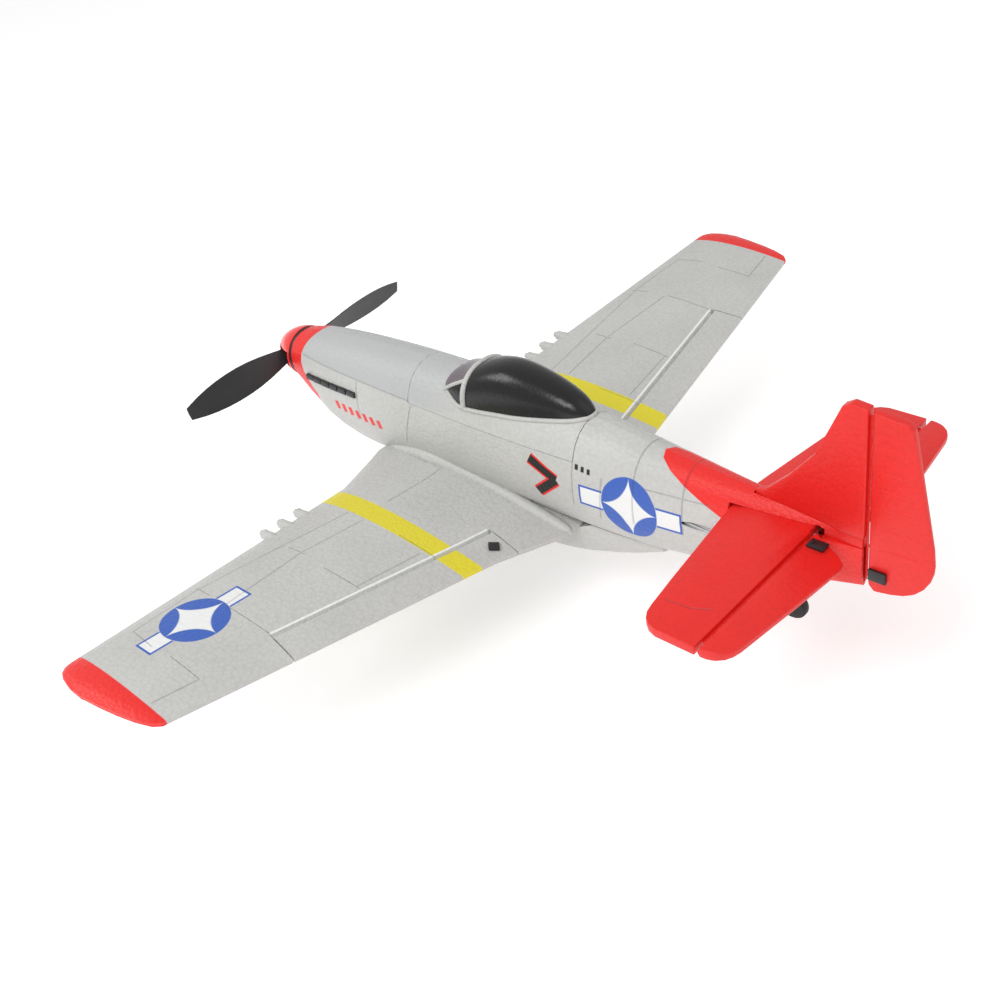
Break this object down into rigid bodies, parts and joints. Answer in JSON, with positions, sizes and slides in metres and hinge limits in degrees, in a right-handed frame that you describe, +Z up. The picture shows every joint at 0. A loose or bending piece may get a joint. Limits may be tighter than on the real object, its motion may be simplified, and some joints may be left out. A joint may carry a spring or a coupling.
{
  "type": "foam model aeroplane",
  "caption": "Low-wing foam model aeroplane with geared propeller, lift-off canopy hatch, hinged control surfaces on pushrods and wire undercarriage.",
  "frame": {"origin": "middle of the bounding box, on the ground under the main wheels", "axes": "+X to the nose, +Y to the left wing tip, +Z up with the aeroplane level"},
  "size_m": [0.3398, 0.4, 0.1332],
  "materials": {
    "silver_foam": "silver-painted moulded bead foam",
    "red_foam": "red-painted moulded foam",
    "black_canopy": "semi-gloss black paint",
    "red_plastic": "glossy moulded",
    "black_plastic": "moulded nylon",
    "magnet_bar": "moulded bar with bright magnets",
    "white_plastic": "moulded nylon",
    "servo_case": "translucent blue case",
    "battery_wrap": "shrink wrap",
    "circuit_board": "solder mask",
    "carbon": "pultruded carbon",
    "spring_wire": "drawn wire",
    "bright_steel": "ground and plated",
    "brass_gear": "cut brass",
    "black_rubber": "foam rubber tyre"
  },
  "bodies": {
    "airframe": {"fuselage_left": "silver_foam", "fuselage_right": "silver_foam", "belly_scoop": "silver_foam", "wing_left": "silver_foam", "wing_right": "silver_foam", "wing_spars": "carbon", "stabiliser": "red_foam", "fin": "red_foam", "hinge_strips": "silver_foam", "exhaust_stacks": "black_plastic", "motor_frame": "black_plastic", "shaft_bearings": "bright_steel", "motor_can": "bright_steel", "battery": "battery_wrap", "battery_tray": "white_plastic", "flight_board": "circuit_board", "servo_tray": "white_plastic", "fuselage_catch": "magnet_bar", "aileron_servo_left": "servo_case", "aileron_servo_right": "servo_case", "elevator_servo": "servo_case", "rudder_servo": "servo_case", "gear_sockets": "black_plastic", "gear_leg_left": "spring_wire", "gear_leg_right": "spring_wire", "tail_bracket": "black_plastic"},
    "pinion": {"pinion_gear": "brass_gear"},
    "prop": {"prop_shaft": "bright_steel", "spur_gear": "white_plastic", "spinner_backplate": "black_plastic", "propeller": "black_plastic", "spinner": "red_plastic", "prop_nut": "bright_steel"},
    "hatch": {"hatch_deck": "silver_foam", "canopy": "black_canopy", "hatch_catch": "magnet_bar"},
    "aileron_l": {"aileron_left": "silver_foam", "aileron_horn_left": "black_plastic"},
    "aileron_r": {"aileron_right": "silver_foam", "aileron_horn_right": "black_plastic"},
    "aileron_arm_l": {"aileron_arm_left": "white_plastic"},
    "aileron_arm_r": {"aileron_arm_right": "white_plastic"},
    "aileron_rod_l": {"aileron_rod_left": "spring_wire"},
    "aileron_rod_r": {"aileron_rod_right": "spring_wire"},
    "elevator": {"elevator_left": "red_foam", "elevator_right": "red_foam", "elevator_joiner": "spring_wire", "elevator_horn": "black_plastic"},
    "elevator_crank": {"elevator_arm": "white_plastic"},
    "elevator_push": {"elevator_rod": "spring_wire"},
    "rudder_body": {"rudder": "red_foam", "rudder_horn": "black_plastic"},
    "rudder_crank": {"rudder_arm": "white_plastic"},
    "rudder_push": {"rudder_rod": "spring_wire"},
    "main_wheel_l": {"wheel_left": "black_rubber", "wheel_hub_left": "white_plastic"},
    "main_wheel_r": {"wheel_right": "black_rubber", "wheel_hub_right": "white_plastic"},
    "tail_wheel_body": {"tail_wheel": "black_rubber"}
  },
  "joints": [
    {"name": "prop_spin", "type": "hinge", "parent": "airframe", "child": "prop", "pos_m": [0.15, 0, 0.073], "axis": [1, 0, 0], "continuous": true},
    {"name": "motor_spin", "type": "hinge", "parent": "airframe", "child": "pinion", "pos_m": [0.125, 0, 0.06513], "axis": [1, 0, 0], "continuous": true},
    {"name": "hatch_lift", "type": "slide", "parent": "airframe", "child": "hatch", "axis": [0, 0, 1], "range_m": [0, 0.04]},
    {"name": "aileron_left_hinge", "type": "hinge", "parent": "airframe", "child": "aileron_l", "pos_m": [-0.0003, 0.038, 0.04699], "axis": [0.1278, 0.9832, 0.1303], "range_deg": [-20, 20]},
    {"name": "aileron_right_hinge", "type": "hinge", "parent": "airframe", "child": "aileron_r", "pos_m": [-0.0003, -0.038, 0.04699], "axis": [-0.1278, 0.9832, -0.1303], "range_deg": [-20, 20]},
    {"name": "aileron_arm_left_turn", "type": "hinge", "parent": "airframe", "child": "aileron_arm_l", "pos_m": [0.032, 0.0465, 0.04786], "axis": [0, 1, 0], "range_deg": [-22, 22]},
    {"name": "aileron_arm_right_turn", "type": "hinge", "parent": "airframe", "child": "aileron_arm_r", "pos_m": [0.032, -0.0465, 0.04786], "axis": [0, 1, 0], "range_deg": [-22, 22]},
    {"name": "aileron_rod_left_slide", "type": "slide", "parent": "airframe", "child": "aileron_rod_l", "axis": [1, 0, 0], "range_m": [-0.00257, 0.00257]},
    {"name": "aileron_rod_right_slide", "type": "slide", "parent": "airframe", "child": "aileron_rod_r", "axis": [1, 0, 0], "range_m": [-0.00257, 0.00257]},
    {"name": "elevator_hinge", "type": "hinge", "parent": "airframe", "child": "elevator", "pos_m": [-0.1288, 0, 0.0793], "axis": [0, 1, 0], "range_deg": [-20, 20]},
    {"name": "elevator_arm_turn", "type": "hinge", "parent": "airframe", "child": "elevator_crank", "pos_m": [-0.02, 0.006, 0.0793], "axis": [0, 1, 0], "range_deg": [-22, 22]},
    {"name": "elevator_rod_slide", "type": "slide", "parent": "airframe", "child": "elevator_push", "axis": [0.9978, -0.066, 0], "range_m": [-0.00425, 0.00425]},
    {"name": "rudder_hinge", "type": "hinge", "parent": "airframe", "child": "rudder_body", "pos_m": [-0.146, 0, 0.09], "axis": [0, 0, 1], "range_deg": [-20, 20]},
    {"name": "rudder_arm_turn", "type": "hinge", "parent": "airframe", "child": "rudder_crank", "pos_m": [0.005, -0.006, 0.0794], "axis": [0, 1, 0], "range_deg": [-22, 22]},
    {"name": "rudder_rod_slide", "type": "slide", "parent": "airframe", "child": "rudder_push", "axis": [0.9997, 0.0252, 0], "range_m": [-0.00396, 0.00396]},
    {"name": "wheel_left_spin", "type": "hinge", "parent": "airframe", "child": "main_wheel_l", "pos_m": [0.068, 0.055, 0.0115], "axis": [0, 1, 0], "continuous": true},
    {"name": "wheel_right_spin", "type": "hinge", "parent": "airframe", "child": "main_wheel_r", "pos_m": [0.068, -0.055, 0.0115], "axis": [0, 1, 0], "continuous": true},
    {"name": "tail_wheel_spin", "type": "hinge", "parent": "airframe", "child": "tail_wheel_body", "pos_m": [-0.117, 0, 0.0388], "axis": [0, 1, 0], "continuous": true}
  ],
  "couplings": [
    {"joint": "motor_spin", "follows": "prop_spin", "ratio": -4},
    {"joint": "aileron_right_hinge", "follows": "aileron_left_hinge", "ratio": -1},
    {"joint": "aileron_arm_left_turn", "follows": "aileron_left_hinge", "ratio": 1},
    {"joint": "aileron_arm_right_turn", "follows": "aileron_left_hinge", "ratio": -1},
    {"joint": "aileron_rod_left_slide", "follows": "aileron_left_hinge", "m_per_rad": -0.007},
    {"joint": "aileron_rod_right_slide", "follows": "aileron_left_hinge", "m_per_rad": 0.007},
    {"joint": "elevator_arm_turn", "follows": "elevator_hinge", "ratio": 1},
    {"joint": "elevator_rod_slide", "follows": "elevator_hinge", "m_per_rad": -0.0116},
    {"joint": "rudder_arm_turn", "follows": "rudder_hinge", "ratio": -1},
    {"joint": "rudder_rod_slide", "follows": "rudder_hinge", "m_per_rad": 0.0108}
  ]
}
